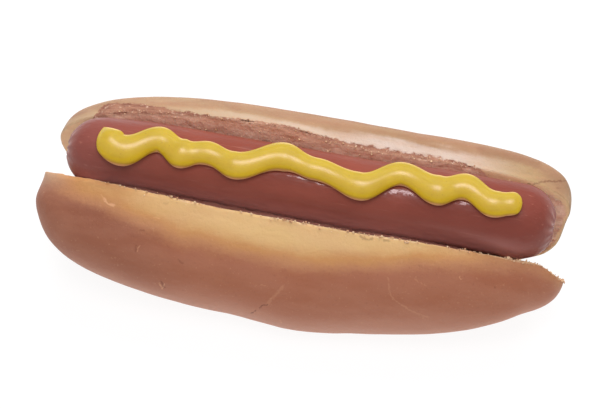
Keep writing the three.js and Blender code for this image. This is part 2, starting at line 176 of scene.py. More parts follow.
EDGE_CROWDING = 1.25  # how much closer together the face's steps are near its edge
MM_IN_METRE = 1000.0


def ease(value):
    """0 below 0, 1 above 1, and between them three squares less two cubes."""
    clipped = np.clip(value, 0.0, 1.0)
    return clipped * clipped * (3.0 - 2.0 * clipped)


def rise(value, size, start, length):
    """A change that eases in from its start over its length and then keeps its full size."""
    return size * ease((value - start) / length)


def swell(value, size, middle, reach):
    """A change that is full in its middle and eases out to nothing at its reach on both sides."""
    return size * ease(1.0 - np.abs(value - middle) / reach)


def soft_max(a, b, softness):
    """The larger of two values, with a parabola through the band where they are close."""
    gap = a - b
    blend = b + (gap + softness) ** 2 / (4.0 * softness)
    return np.where(np.abs(gap) >= softness, np.maximum(a, b), blend)


def plan_exponent(side, x, sigma):
    """Exponent of the plan's superellipse by quadrant: left or right, cut edge or hinge."""
    top = PLAN_DOME if side == DOME else PLAN_FLAT
    return np.where(sigma < 0, np.where(x < 0, *PLAN_HINGE), np.where(x < 0, *top))


def even_outline(side, start, end, count):
    """Points of the plan |x|^p + |sigma|^p = 1 between two angles, evenly spaced by length."""
    angle = np.linspace(start, end, OUTLINE_SAMPLES + 1)
    cosine, sine = np.cos(angle), np.sin(angle)
    power = 2.0 / plan_exponent(side, cosine, sine)
    x = np.sign(cosine) * np.abs(cosine) ** power
    sigma = np.sign(sine) * np.abs(sine) ** power
    steps = np.hypot(np.diff(x) * HALF_LENGTH, np.diff(sigma) * PLAN_HALF_WIDTH)
    length = np.concatenate([[0.0], np.cumsum(steps)])
    wanted = np.linspace(0.0, length[-1], count + 1)
    return np.interp(wanted, length, x), np.interp(wanted, length, sigma)


def thickness(side, x, sigma):
    """Thickness over a plan point: T (1 - rho^q)^(1/q), with rho the superellipse's own radius."""
    p = plan_exponent(side, x, sigma)
    rho = np.minimum((np.abs(x) ** p + np.abs(sigma) ** p) ** (1.0 / p), 1.0)
    q = DOME_ROUNDNESS + DOME_ROUNDNESS_SLOPE * x if side == DOME else FLAT_ROUNDNESS
    dome = DOME_THICKNESS * (1.0 - DOME_TAPER * x) + swell(x, *DOME_BELLY) + swell(x, *DOME_WAIST)
    full = dome if side == DOME else FLAT_THICKNESS
    return full * (1.0 - rho ** q) ** (1.0 / q)


def half_length(side, x, s, n):
    """Half length of the loaf at a distance s from the root and n from the cut: short at the
    hinge, long at the cut edge, and bulging or undercut at each end."""
    reach = ease((s + HINGE_DEPTH) / (CUT_DEPTH + HINGE_DEPTH) / LENGTH_REACH)
    base = HINGE_HALF_LENGTH + (HALF_LENGTH - HINGE_HALF_LENGTH) * reach
    if side == DOME:
        left = DOME_LEFT_EDGE + rise(n, *DOME_LEFT_BULGE) + rise(n, *DOME_LEFT_UNDERCUT)
        extra = np.where(x > 0, DOME_RIGHT_TIP, left) * ease(s / CUT_DEPTH)
    else:
        right = rise(s, *FLAT_RIGHT_BULGE) + rise(s, *FLAT_RIGHT_UNDERCUT)
        extra = np.where(x > 0, right, rise(s, *FLAT_LEFT_BULGE) + rise(s, *FLAT_LEFT_UNDERCUT))
    return base + extra * ease(np.abs(x))


def lean(side, x):
    """Degrees that a half leans out from upright at x, from -1 at the left end to 1 at the right."""
    if side == FLAT:
        return OPEN_FLAT + FLAT_TWIST * x + rise(x, *FLAT_RIGHT_LEAN)
    return OPEN_DOME + rise(-x, *DOME_LEFT_SHUT) + rise(x, *DOME_RIGHT_SHUT) + rise(x, *DOME_RIGHT_DROOP)


def slant(side, x, s, n):
    """How far the flat half's side slants in to its cut edge."""
    if side == DOME:
        return 0.0
    return rise(x, *FLAT_SLANT) * ease((s - SLANT_START) / SLANT_LENGTH) * (1.0 - ease(n / SLANT_REACH))


def fold(side, x, s, n):
    """Turns a point of the unfolded loaf about the root by its half's lean, which eases in round
    the hinge, and flattens the crust where it reaches the table."""
    height = s - slant(side, x, s, n)
    radius = np.hypot(height, n)
    around = np.arctan2(n, -height)
    turned = around - np.radians(lean(side, x)) * ease(around / np.pi / FOLD_REACH)
    y = ROOT_Y - side * radius * np.sin(turned)
    z = ROOT_Z - radius * np.cos(turned)
    return np.stack([half_length(side, x, s, n) * x, y, soft_max(z, TABLE_HEIGHT, REST_SOFTNESS)], -1)


def sausage_radius(x):
    """Radius at x: one end's radius eased into the other's, times a superellipse over each end."""
    along = (x - SAUSAGE_LEFT) / (SAUSAGE_RIGHT - SAUSAGE_LEFT)
    straight = SAUSAGE_LEFT_RADIUS + (SAUSAGE_RIGHT_RADIUS - SAUSAGE_LEFT_RADIUS) * ease(along)
    inset = np.minimum(x - SAUSAGE_LEFT, SAUSAGE_RIGHT - x)
    end = np.clip(1.0 - inset / SAUSAGE_END, 0.0, 1.0)
    return straight * (1.0 - end ** SAUSAGE_END_ROUNDNESS) ** (1.0 / SAUSAGE_END_ROUNDNESS)


def bend(x):
    """How far the bent frankfurter's middle line lies from the X axis, towards +Y."""
    return rise(-x, *LEFT_BEND) + rise(x, *RIGHT_BEND)


def press_face(point, x, hug):
    """Fills the root of the cut up to the trough's floor, then pushes the face out radially
    until it clears the frankfurter. By its hug, from 0 to 1, a face that lies clear is drawn in."""
    point = point.copy()
    floor = TROUGH_FLOOR + rise(np.abs(x), *TROUGH_END_DROP)
    point[..., 2] = soft_max(point[..., 2], floor, TROUGH_SOFTNESS)
    radius = sausage_radius(point[..., 0])
    middle = bend(point[..., 0])
    distance = np.hypot(point[..., 1] - middle, point[..., 2])
    clear = radius + GROOVE_GAP
    pressed = soft_max(distance, clear, GROOVE_SOFTNESS)
    pressed += (np.minimum(pressed, clear) - pressed) * hug
    pressed = np.where(radius > 0, pressed, distance)
    point[..., 1] = middle + (point[..., 1] - middle) * pressed / distance
    point[..., 2] *= pressed / distance
    return point


def outside_grid(side, edge, hinge, steps):
    """Chords of the plan from the cut edge to the hinge, raised by the loaf's thickness, folded.
    Both ends of a chord, where it rises steeply, get shorter steps by the roundness there."""
    crowding = (DOME_ROUNDNESS if side == DOME else FLAT_ROUNDNESS) / 2.0
    even = np.linspace(0.0, 1.0, steps + 1)
    crowded = even ** crowding / (even ** crowding + (1.0 - even) ** crowding)
    part = (1.0 - np.cos(np.pi * crowded)) / 2.0
    x = edge[0][:, None] + (hinge[0] - edge[0])[:, None] * part
    sigma = edge[1][:, None] + (hinge[1] - edge[1])[:, None] * part
    return fold(side, x, PLAN_CENTRE + PLAN_HALF_WIDTH * sigma, thickness(side, x, sigma))


def face_grid(side, edge, root_x, steps):
    """Lines over the cut face from its edge to the root, closer together near the edge."""
    part = np.linspace(0.0, 1.0, steps + 1) ** EDGE_CROWDING
    x = edge[0][:, None] + (root_x - edge[0])[:, None] * part
    depth = (PLAN_CENTRE + PLAN_HALF_WIDTH * edge[1])[:, None]
    s = depth * (1.0 - part)
    hug = rise(depth * part, *HUG) * (1.0 - rise(np.abs(x), *HUG_FADE)) if side == DOME else 0.0
    return press_face(fold(side, x, s, 0.0 * s), x, hug)


def along_rows(grid):
    """Length along each row of a grid from its first point."""
    steps = np.linalg.norm(np.diff(grid, axis=1), axis=2)
    return np.concatenate([np.zeros((len(grid), 1)), np.cumsum(steps, axis=1)], axis=1)


def grain(point, size, seed):
    """Smooth random field from -1 to 1: hashed values at the corners of boxes of the given size,
    blended with eased weights."""
    scaled = point / np.asarray(size, float)
    cell = np.floor(scaled).astype(np.int64)
    weight = ease(scaled - cell)
    total = np.zeros(scaled.shape[:-1])
    for corner in itertools.product((0, 1), repeat=3):
        i = cell + np.array(corner)
        mixed = i[..., 0] * 73856093 ^ i[..., 1] * 19349663 ^ i[..., 2] * 83492791 ^ (seed * 40503 + 7)
        mixed = ((mixed ^ (mixed >> 13)) & 0xFFFFFFFF) * 1274126177 & 0xFFFFFFFF
        value = ((mixed ^ (mixed >> 16)) & 0xFFFF) / 32767.5 - 1.0
        total += value * np.prod(np.where(corner, weight, 1.0 - weight), axis=-1)
    return total


def rough(point, size, seed, octaves=3):
    """Sum of grains, each half the size and half the height of the one before."""
    size = np.asarray(size, float)
    return sum(grain(point, size / 2 ** k, seed + 17 * k) / 2 ** k for k in range(octaves))


def turned_to(normal, direction, start, length):
    """How much a surface faces a direction: 0 where the cosine is below a start, 1 a length above."""
    return ease((normal @ np.array(direction) - start) / length)


def unit(vectors):
    """Vectors made one long, with nearly empty ones left short."""
    return vectors / np.maximum(np.linalg.norm(vectors, axis=-1, keepdims=True), 1e-9)


def outward(rings):
    """Unit normals of a tube of rings: the step round each ring crossed with the step along them."""
    round_ring = np.roll(rings, -1, axis=1) - np.roll(rings, 1, axis=1)
    return unit(np.cross(round_ring, np.gradient(rings, axis=0)))


def closed_skin(name, first_pole, rings, last_pole, marks):
    """Mesh over rings of points with a fan to each pole, moved from the frankfurter's frame into
    the part's. Marks are named numbers for all points of the rings, kept as attributes."""
    count, sides = rings.shape[:2]
    points = np.concatenate([first_pole[None], rings.reshape(-1, 3), last_pole[None]])
    k = np.arange(sides)
    following = (k + 1) % sides
    here = (1 + sides * np.arange(count - 1))[:, None]
    quads = np.stack([here + k, here + following, here + sides + following, here + sides + k], -1)
    last = 1 + (count - 1) * sides
    fans = [np.stack([0 * k, 1 + following, 1 + k], -1),
            np.stack([last + k, last + following, 0 * k + len(points) - 1], -1)]
    mesh = bpy.data.meshes.new(name)
    faces = quads.reshape(-1, 4).tolist() + np.concatenate(fans).tolist()
    mesh.from_pydata(((points + ORIGIN) / MM_IN_METRE).tolist(), [], faces)
    for mark, values in marks.items():
        attribute = mesh.attributes.new(mark, "FLOAT", "POINT")
        flat = np.broadcast_to(values, (count, sides)).reshape(-1)
        with_poles = np.concatenate([flat[:1], flat, flat[-1:]])
        attribute.data.foreach_set("value", with_poles.astype(np.float32))
    mesh.shade_smooth()
    return add_object(name, mesh)


root_sine = PLAN_CENTRE / PLAN_HALF_WIDTH
left_root = np.pi + np.arcsin(root_sine ** (PLAN_HINGE[0] / 2))
right_root = -np.arcsin(root_sine ** (PLAN_HINGE[1] / 2))
dome_edge = even_outline(DOME, left_root, right_root, BUN_STATIONS)
flat_edge = even_outline(FLAT, left_root, right_root, BUN_STATIONS)
hinge = even_outline(DOME, left_root, 2 * np.pi + right_root, BUN_STATIONS)
root_x = np.linspace(dome_edge[0][0], dome_edge[0][-1], BUN_STATIONS + 1)
dome_out = outside_grid(DOME, dome_edge, hinge, DOME_STEPS)
flat_out = outside_grid(FLAT, flat_edge, hinge, FLAT_STEPS)
dome_face = face_grid(DOME, dome_edge, root_x, FACE_STEPS)
flat_face = face_grid(FLAT, flat_edge, root_x, FACE_STEPS)


def join_round(dome, flat, flat_cut, dome_cut):
    """Joins values of the four grids into rings: over the dome, under the hinge, up the flat
    half, down its cut face and up the dome's."""
    outside = [dome, flat[:, ::-1][:, 1:]]
    inside = [flat_cut[:, 1:], dome_cut[:, ::-1][:, 1:-1]]
    return np.concatenate(outside + inside, axis=1)[1:-1]


def everywhere(grid, value):
    """One value for every point of a grid."""
    return np.full(grid.shape[:2], float(value))


def to_row_end(grid):
    """Length along each row of a grid to its last point."""
    length = along_rows(grid)
    return length[:, -1:] - length


# The bun's points, and for each of them its distance from the cut edge, which is below 0 on the
# cut faces, the half it belongs to and its distance from the hinge, in mm.
FAR_FROM_HINGE = 99.0
bun_rings = join_round(dome_out, flat_out, flat_face, dome_face)
x_mm = bun_rings[..., 0]
rim = join_round(along_rows(dome_out), along_rows(flat_out),
                 -along_rows(flat_face), -along_rows(dome_face))
half = join_round(everywhere(dome_out, DOME), everywhere(flat_out, FLAT),
                  everywhere(flat_face, FLAT), everywhere(dome_face, DOME))
to_hinge = join_round(to_row_end(dome_out), to_row_end(flat_out),
                      everywhere(flat_face, FAR_FROM_HINGE), everywhere(dome_face, FAR_FROM_HINGE))

# The part's frame: the frankfurter's axis lies at its CAD box's middle, and the bun's middle
# lies over the CAD bun's.
ORIGIN = np.array([
    MM_IN_METRE * (bun_low.x + bun_high.x) / 2 - (x_mm.min() + x_mm.max()) / 2,
    MM_IN_METRE * axis_y,
    MM_IN_METRE * axis_z,
])


def by_place(*rows):
    """A value for every point of the bun from rows of (x, value), in straight lines between them."""
    return np.interp(x_mm, *zip(*rows))


# How deep the pale pulled-apart side of the dome reaches from its cut edge, in mm.
band_reach = by_place(
    (-80, 0.5), (-77, 1), (-69, 3), (-63, 4.5), (-54, 6.5), (-41, 8), (-29, 8.5), (-14, 9.5),
    (2, 9.5), (16, 8.2), (31, 6), (46, 4), (61, 2), (69, 1.2), (75, 0.5), (84, 0.2),
)
# How much browner that side is towards both ends than in the middle.
tint = by_place(
    (-78, 0.76), (-69, 0.52), (-63, 0.4), (-54, 0.3), (-41, 0.14), (-14, 0), (20, 0),
    (31, 0.07), (46, 0.2), (61, 0.42), (70, 0.5), (80, 0.6),
)
# How far down its cut face the pale side of the flat half laps over the crumb, in mm. Below 0
# the edge is torn, and the crumb reaches out that far.
lap = by_place(
    (-80, 6), (-70, 4), (-67, -4.6), (-62, -4.8), (-55, -3.6), (-49, -2.6), (-44, -1.6),
    (-36, -0.4), (-30, 0), (-5, 0), (4, -1.4), (18, -1.6), (30, -1.2), (45, -0.8),
    (50, 0.4), (54, 4), (60, 9), (66, 5), (72, 1.8), (80, 1.6),
)
# Where on the flat half's side, in mm from the cut edge, the pale skin starts to brown, and over
# how far.
side_start = by_place(
    (-80, 0.5), (-50, 0.8), (-36, 1.4), (-5, 0.6), (24, 2.6), (40, 2.8), (56, 2.4), (80, 1))
side_length = by_place((-36, 3), (-5, 5))
# Changes along the bun, or across it from its cut edge or hinge: how large each is, where it
# starts and over what length it comes, in mm.
NEAR_END = (1, 64, 12)
BACK_BROWN, HINGE_PALE = (0.4, 8, 5), (0.85, -14, 10)
CREAM_MIDDLE, CREAM_RIGHT, CREAM_END = (0.5, -50, 60), (0.28, 0, 20), (0.95, 38, 30)
LIP_RIGHT, LIP_DEPTH = (1, 44, 8), (1, 0, 0.8)
WEAR_LEFT, CORNER_LEFT = (1, 20, 25), (1, 66, 10)
# Where the dome's cut face is painted dark next to the frankfurter: painted shade for the gap between
# them.
GAP_SHADE_DEPTH, GAP_SHADE_END = (1, 0.1, 0.7), (1, 56, 8)
ALONG, GATHERS_SHOW = (1, -80, 160), (1, -66, 12)
SIDE_BROWN, END_BROWN = 0.5, 0.35
BAND_BLUR, BAND_BLUR_SLOPE, BAND_BLUR_BEFORE = 8.0, 0.55, 0.42
BORDER_BLUR, HINGE_WIDTH = 0.9, 14.0
WANDER_SIZE, BAND_WANDER, LAP_WANDER, SIDE_WANDER = (16, 9, 9), 0.7, 0.5, 0.5

at_end = rise(np.abs(x_mm), *NEAR_END)
on_dome = 0.5 + 0.5 * half * ease(to_hinge / HINGE_WIDTH)
wander = rough(bun_rings, WANDER_SIZE, seed=3)
band_blur = BAND_BLUR + BAND_BLUR_SLOPE * band_reach
band_start = band_reach + BAND_WANDER * wander - BAND_BLUR_BEFORE * band_blur
dome_bake = tint + (1.0 - tint) * ease((rim - band_start) / band_blur)
side_bake = rise(rim, SIDE_BROWN, side_start + SIDE_WANDER * wander, side_length) + rise(rim, *BACK_BROWN)
flat_bake = np.maximum(side_bake, END_BROWN * at_end)
bake = np.where(half > 0, dome_bake, flat_bake) * (1.0 - rise(-to_hinge, *HINGE_PALE) * (1.0 - at_end))
bake = np.where(rim < 0, 0.0, bake)
past_border = np.where(half > 0, -rim, -(lap + LAP_WANDER * wander) - rim)  # mm into the torn crumb
crumb = ease(past_border / BORDER_BLUR + 0.5)
cream = (rise(x_mm, *CREAM_MIDDLE) + rise(x_mm, *CREAM_RIGHT)) * (1.0 - rise(x_mm, *CREAM_END))
# Painted light: the flat half's cut face just inside its edge lies in shade, and is painted lighter at
# both ends and towards the right.
painted_lip_light = np.maximum(at_end, rise(x_mm, *LIP_RIGHT)) * rise(-rim, *LIP_DEPTH) * (half < 0)

# Torn crumb: fine pits and shreds drawn out along the bun, a little below the pale skin. The
# crust has low lumps, and the flat half's cut edge is worn down towards the left. Sizes in mm.
SHRED_SIZE, SHRED_HEIGHT, SHRED_LIMIT = (3.6, 1.2, 1.2), 0.24, 1.2
PIT_SIZE, PIT_DEPTH = (2.2, 1.1, 1.1), (0.3, 0.25, 0.5)  # reached between two values of the grain
CRUMB_SINK = 0.1
LUMP_SIZE, LUMP_HEIGHT = (26, 15, 15), 0.2
DIMPLE_SIZE, DIMPLE_HEIGHT = (5, 3, 3), 0.05
CRUST_START = 5.0  # how far from the cut edge the lumps reach their full height
WEAR_DEPTH, WEAR_REACH, WEAR_DOWN = 0.7, 2.2, np.array([0.0, 0.46, -0.88])

normals = outward(bun_rings)
shreds = SHRED_HEIGHT * np.clip(rough(bun_rings, SHRED_SIZE, seed=11), -SHRED_LIMIT, SHRED_LIMIT)
pits = rise(grain(bun_rings, PIT_SIZE, seed=23), *PIT_DEPTH)
lumps = LUMP_HEIGHT * rough(bun_rings, LUMP_SIZE, seed=31, octaves=2)
lumps += DIMPLE_HEIGHT * rough(bun_rings, DIMPLE_SIZE, seed=37, octaves=2)
relief = crumb * (shreds - CRUMB_SINK - pits) + (1.0 - crumb) * lumps * ease(rim / CRUST_START)
worn = WEAR_DEPTH * (1.0 - on_dome) * rise(-x_mm, *WEAR_LEFT) * (1.0 - at_end)
worn *= np.exp(-(rim / WEAR_REACH) ** 2)

# The ragged line of the cut edge: small nibs that stand up from it, gathered here and there.
NIB_SIZE, NIB_HEIGHT, NIB_REACH = 1.1, 0.5, 0.45
SWELL_SIZE, SWELL_HEIGHT = 5.0, 0.25
GATHER_SIZE, GATHER_LEAST, GATHER_MORE = 9.0, 0.35, (0.65, -0.5, 0.9)
END_CALM = 0.6  # how much lower the nibs are at both ends
HALVES_APART = 50.0  # so that the nibs of one half don't repeat on the other
UP_DOME_FACE, UP_FLAT_FACE = (0, -0.54, 0.84), (0, 0.32, 0.95)

along_edge = bun_rings * (1, 0, 0) + HALVES_APART * half[..., None]
gathers = GATHER_LEAST + rise(grain(along_edge, GATHER_SIZE, seed=43), *GATHER_MORE)
nibs = NIB_HEIGHT * np.clip(grain(along_edge, NIB_SIZE, seed=41), 0.0, 1.0)
nibs += SWELL_HEIGHT * rough(along_edge, SWELL_SIZE, seed=47, octaves=2)
nibs *= on_dome * gathers * np.exp(-(rim / NIB_REACH) ** 2) * (1.0 - END_CALM * at_end)
up_face = np.where(half[..., None] > 0, UP_DOME_FACE, UP_FLAT_FACE)
displaced = bun_rings + normals * relief[..., None] + up_face * nibs[..., None]
displaced += WEAR_DOWN * worn[..., None]
displaced[..., 2] = np.maximum(displaced[..., 2], TABLE_HEIGHT)

# Marks for the material: where the bake, the border and the cut edge are, and where the skin is
# pale by place or rubbed at its corner. Two more are painted light: painted shade on the dome's
# cut face next to the frankfurter, and painted light from the white table low down on the dome.
# What faces a direction starts at a cosine and comes over a length of it.
MARK_REACH, CORNER_REACH, FOOT_BELOW = 6.0, 4.0, 4.0
FOOT_FACES, FOOT_LESS = ((-0.12, 0.55, -0.83), -0.92, 0.6), ((-1, 0, 0), 0.0, 0.6)
# Painted light: the dome is painted lighter low down, standing in for the light thrown up by the white
# table.
painted_table_bounce = on_dome * ease(rim / FOOT_BELOW) * turned_to(normals, *FOOT_FACES)
bun = closed_skin("bun_roll", dome_out[0, 0], displaced, dome_out[-1, 0], {
    "bake": bake,
    "past_border": np.clip(past_border, -MARK_REACH, MARK_REACH),
    "rim": np.clip(rim, -MARK_REACH, MARK_REACH),
    "dome": on_dome,
    "along": rise(x_mm, *ALONG),
    "cream": cream,
    "painted_lip_light": painted_lip_light,
    "gathers": gathers * rise(x_mm, *GATHERS_SHOW),
    "painted_gap_shade": on_dome * rise(-rim, *GAP_SHADE_DEPTH) * (1.0 - rise(np.abs(x_mm), *GAP_SHADE_END)),
    "corner": on_dome * rise(-x_mm, *CORNER_LEFT) * np.exp(-(rim / CORNER_REACH) ** 2),
    "painted_table_bounce": painted_table_bounce * (1.0 - 0.8 * turned_to(normals, *FOOT_LESS)),
})


def paint(red, green, blue):
    """A colour from its display values, 0 to 255, as the linear numbers that a shader takes."""
    display = np.array([red, green, blue]) / 255.0
    linear = np.where(display <= 0.04045, display / 12.92, ((display + 0.055) / 1.055) ** 2.4)
    return (*linear.tolist(), 1.0)


class Mask:
    """A number that varies over a surface. It wraps a socket, and arithmetic on it adds Math nodes."""

    def __init__(self, finish, socket):
        self.finish = finish
        self.socket = socket

    def math(self, operation, first, second=0.0, clamp=False):
        """Arithmetic on two numbers, either of which may vary, as a Math node."""
        values = {0: first, 1: second}
        return self.finish.node("Math", values, operation=operation, use_clamp=clamp)

    def __add__(self, other):
        return self.math("ADD", self, other)

    def __sub__(self, other):
        return self.math("SUBTRACT", self, other)

    def __rsub__(self, other):
        return self.math("SUBTRACT", other, self)

    def __mul__(self, other):
        return self.math("MULTIPLY", self, other)

    __radd__ = __add__
    __rmul__ = __mul__

    def step(self, low, high):
        """0 below low, 1 above high, eased between them."""
        values = {"Value": self, "From Min": low, "From Max": high}
        return self.finish.node("MapRange", values, interpolation_type="SMOOTHSTEP")

    def fade(self, low, high):
        """1 below low, 0 above high, eased between them."""
        return 1.0 - self.step(low, high)

    def larger(self, other):
        """The larger of this and another number."""
        return self.math("MAXIMUM", self, other)


class Finish:
    """A material: a Principled shader with fixed numbers, and the nodes that colour it."""

    def __init__(self, name, **fixed):
        self.material = bpy.data.materials.new(name)
        self.material.use_nodes = True
        self.tree = self.material.node_tree
        self.shader = self.tree.nodes["Principled BSDF"]
        for socket, value in fixed.items():
            self.shader.inputs[socket.replace("_", " ")].default_value = value

    def node(self, kind, values=None, output=0, **settings):
        """Adds a node: its settings first, then each socket's value or link. Returns one output."""
        made = self.tree.nodes.new("ShaderNode" + kind)
        for setting, value in settings.items():
            setattr(made, setting, value)
        for socket, value in (values or {}).items():
            if isinstance(value, Mask):
                self.tree.links.new(value.socket, made.inputs[socket])
            else:
                made.inputs[socket].default_value = value
        return Mask(self, made.outputs[output])

    def mark(self, name):
        """A piece's own attribute."""
        return self.node("Attribute", output=2, attribute_name=name)

    def speckle(self, size, stretch=1.0, detail=3.0, roughness=0.55, seed=0.0):
        """Noise from 0 to 1 in Object coordinates, with features of a size in mm, stretched along X."""
        place = self.node("Mapping", {
            "Vector": self.node("TexCoord", output=3), "Location": (seed, 0.7 * seed, 0.3 * seed),
            "Scale": tuple(MM_IN_METRE / size / part for part in (stretch, 1.0, 1.0))})
        return self.node("TexNoise", {
            "Vector": place, "Scale": 1.0, "Detail": detail, "Roughness": roughness})

    def blend(self, factor, first, second):
        """Mixes two colours, each the result of a mix or three display values, 0 to 255."""
        first, second = (colour if isinstance(colour, Mask) else paint(*colour)
                         for colour in (first, second))
        return self.node("Mix", {0: factor, 6: first, 7: second}, output=2, data_type="RGBA")

    def cover(self, colour, *coats):
        """Lays coats over a colour, one after another. Each is a mask and the colour it adds."""
        for mask, coat in coats:
            colour = self.blend(mask, colour, coat)
        return colour

    def vector(self, operation, first, second=(0.0, 0.0, 0.0), scale=1.0, output=0):
        """Vector arithmetic, with the result at output 0 and a dot product or length at 1."""
        return self.node("VectorMath", {0: first, 1: second, 3: scale}, output, operation=operation)

    def line(self, place, width, *corners):
        """1 within a fifth of a width from a line through corners, and 0 beyond it, all in mm."""
        nearness = 0.0
        for start, end in zip(corners[:-1], corners[1:]):
            run = np.subtract(end, start)
            from_start = self.vector("SUBTRACT", place, tuple(start))
            share = self.vector("DOT_PRODUCT", from_start, tuple(run / (run @ run)), output=1)
            share = share.math("ADD", share, clamp=True)
            nearest = self.vector("SCALE", tuple(run), scale=share)
            away = self.vector("LENGTH", self.vector("SUBTRACT", from_start, nearest), output=1)
            nearness = away.fade(0.2 * width, width).larger(nearness)
        return nearness

    def bump(self, height, distance):
        """Feeds the shader's normal from a height, at full depth of distance in mm."""
        self.feed("Normal", self.node("Bump", {
            "Height": height, "Distance": distance / MM_IN_METRE, "Strength": 1.0}))

    def feed(self, socket, value):
        """Links a mask, colour or normal to one of the shader's sockets."""
        self.tree.links.new(value.socket, self.shader.inputs[socket])


# Scars in the skin: how strong and how wide each is, and the corners of its line by their place
# along the bun and how far they lie below the cut edge, or above it on the cut face, all in mm.
RUBBED_SCARS = [  # where the dome's brown skin has flaked, rubbed or wrinkled
    (0.9, 0.5, (-57, 5), (-55.5, 6), (-53.5, 6)),
    (0.5, 0.35, (-58, 4), (-56.5, 5)),
    (0.5, 0.35, (-37, 27), (-36, 29.5), (-35.5, 27)),
    (0.4, 0.32, (-44, 16), (-44.5, 18)),
    (0.5, 0.4, (50.5, 8), (51, 8.5)),
    (0.4, 0.35, (0, 32.5), (0.5, 34.5)),
    (0.4, 0.35, (-41, 7), (-39.5, 7)),
    (0.17, 0.7, (-4, 27), (-3, 24.5), (-1.5, 22.5), (0, 19.5)),
    (0.2, 0.35, (-6.5, 20.5), (-5, 20.5)),
    (0.2, 0.4, (30, 11.5), (31, 15.5), (32.5, 18), (35, 19.5), (38.5, 21.5), (43.5, 23)),
    (0.2, 0.32, (38, 10), (38, 11), (39.5, 11.5), (40.5, 12.5)),
    (0.5, 0.5, (80, 0.5), (79, 2.5), (77.5, 6), (75, 10.5)),
]
# Dark lines of painted shade, for the shade in each sunken place, nick and split.
SUNKEN_SCARS = [  # where it has sunk, been nicked or split
    (0.7, 0.36, (-9, 33), (-7.5, 30.5)),
    (0.9, 0.36, (-6.5, 29.5), (-5.5, 27.5), (-4, 27)),
    (0.4, 0.6, (20, 1), (22, 1.5), (23.5, 1)),
    (0.3, 0.6, (-49, 0), (-48, 0.5)),
    (0.15, 0.5, (-39, 2), (-38, 2)),
    (0.3, 0.5, (27, 1), (28.5, 1)),
    (0.3, 0.45, (-45, 16.5), (-45, 18.5)),
    (0.3, 0.45, (61, 9), (61, 10.5)),
    (0.3, 0.45, (-44.5, 11.5), (-43.5, 11.5)),
    (0.3, 0.45, (-32, 17.5), (-30.5, 18.5)),
    (0.5, 0.45, (-36.5, 26), (-35.5, 28.5)),
]
END_CREASES = [  # where the flat half's right end has folded over: dark lines, painted shade in the folds
    (0.5, 0.5, (64.5, -1.5), (67.5, 0), (70, 2), (73, 3.5), (75.5, 6)),
    (0.3, 0.5, (73.5, 1.5), (76.5, 4.5)),
    (0.16, 3.0, (50, 6.5), (58, 7), (66, 7)),
]
SKIN_SPREAD = 0.3  # mm2, how soon places further off stop counting
UPPER_COUNTS = 4.0  # mm of height over which a place counts e times as much


def skin_point(side, x, below):
    """The bun's surface on a half at x and at a distance below its cut edge, averaged over the
    mesh points within about half a millimetre. Where an end has two such places, the upper counts."""
    off = (x_mm - x) ** 2 + (rim - below) ** 2
    nearness = np.exp(bun_rings[..., 2] / UPPER_COUNTS - off / SKIN_SPREAD) * (half == side)
    return (bun_rings * nearness[..., None]).sum((0, 1)) / nearness.sum()


def scars(finish, place, side, marks):
    """The strongest of a half's scars at every place: each one's line times its strength."""
    lines = [finish.line(place, width, *(skin_point(side, *corner) for corner in corners)) * strength
             for strength, width, *corners in marks]
    return functools.reduce(Mask.larger, lines)


m = Finish("baked crust and crumb", Subsurface_Weight=0.12,
           Subsurface_Radius=(0.0022, 0.0012, 0.0007), Subsurface_Scale=1.0)
dome_mark, bake_mark, rim_mark, along_mark = map(m.mark, ("dome", "bake", "rim", "along"))
mottle = m.speckle(9.0, stretch=1.6, detail=5.0, roughness=0.6, seed=3.0)
sweep = m.speckle(3.6, stretch=5.0, detail=4.0, roughness=0.6, seed=12.0)
fine = m.speckle(1.2, detail=4.0, roughness=0.65)
streak = m.speckle(1.6, stretch=5.0, detail=4.0, seed=5.0)
smear = m.speckle(7.0, stretch=3.0, detail=3.0, seed=7.0)
ragged = m.speckle(1.4, stretch=1.6, detail=3.0, roughness=0.6, seed=21.0)
freckle = m.speckle(0.9, detail=2.0, seed=15.0)

# The bake, with cloudy, fine and swept unevenness where there is some.
baked = bake_mark + (mottle - 0.5) * 0.5 * bake_mark.step(0.02, 0.4)
baked = baked + (fine - 0.5) * 0.16 * bake_mark.step(0.1, 0.5)
swept = (sweep - 0.5) * (0.85 - 0.7 * dome_mark) * bake_mark.step(-0.2, 0.4)
baked = baked + swept * (1.2 - 0.8 * bake_mark)

# The skin's colours from pale to brown, each for the flat half first and then for the dome.
flat_pale = m.cover(
    m.blend(along_mark.step(0.7, 0.92), (193, 169, 135), (184, 153, 106)),
    (m.mark("cream"), (228, 212, 202)),
    # painted light on the shaded strip just inside the flat half's cut edge
    (m.mark("painted_lip_light") * 0.85, (248, 212, 166)),
)
pale_streaks = m.blend(dome_mark, (208, 166, 128), (222, 180, 118))
pale = m.blend(dome_mark, flat_pale, (232, 194, 134))
pale = m.blend(streak.step(0.35, 0.75) * 0.3, pale, pale_streaks)
flat_golden = m.blend(along_mark, (187, 152, 118), (170, 134, 100))
golden = m.blend(dome_mark, flat_golden, (208, 152, 93))
tan = m.blend(dome_mark, (168, 126, 98), (194, 136, 92))
flat_brown = m.blend(along_mark, (172, 118, 84), (164, 110, 78))
brown = m.blend(dome_mark, flat_brown, (172, 106, 76))
brown = m.blend(along_mark.step(0.3, 0.04) * dome_mark * 0.8, brown, (154, 96, 72))
skin = m.cover(
    pale,
    (baked.step(0.0, 0.42), golden),
    (baked.step(0.34, 0.72), tan),
    (baked.step(0.6, 1.0), brown),
    (smear.step(0.35, 0.65) * 0.14, (212, 158, 132)),
    (freckle.step(0.62, 0.74) * bake_mark.step(0.3, 0.8) * 0.25, (140, 84, 62)),
    (freckle.fade(0.26, 0.36) * 0.12, (240, 196, 150)),
    # painted light from the white table, low down on the dome
    (m.mark("painted_table_bounce") * 0.5, (214, 158, 136)),
    (m.mark("corner") * 0.45, (240, 206, 170)),
)
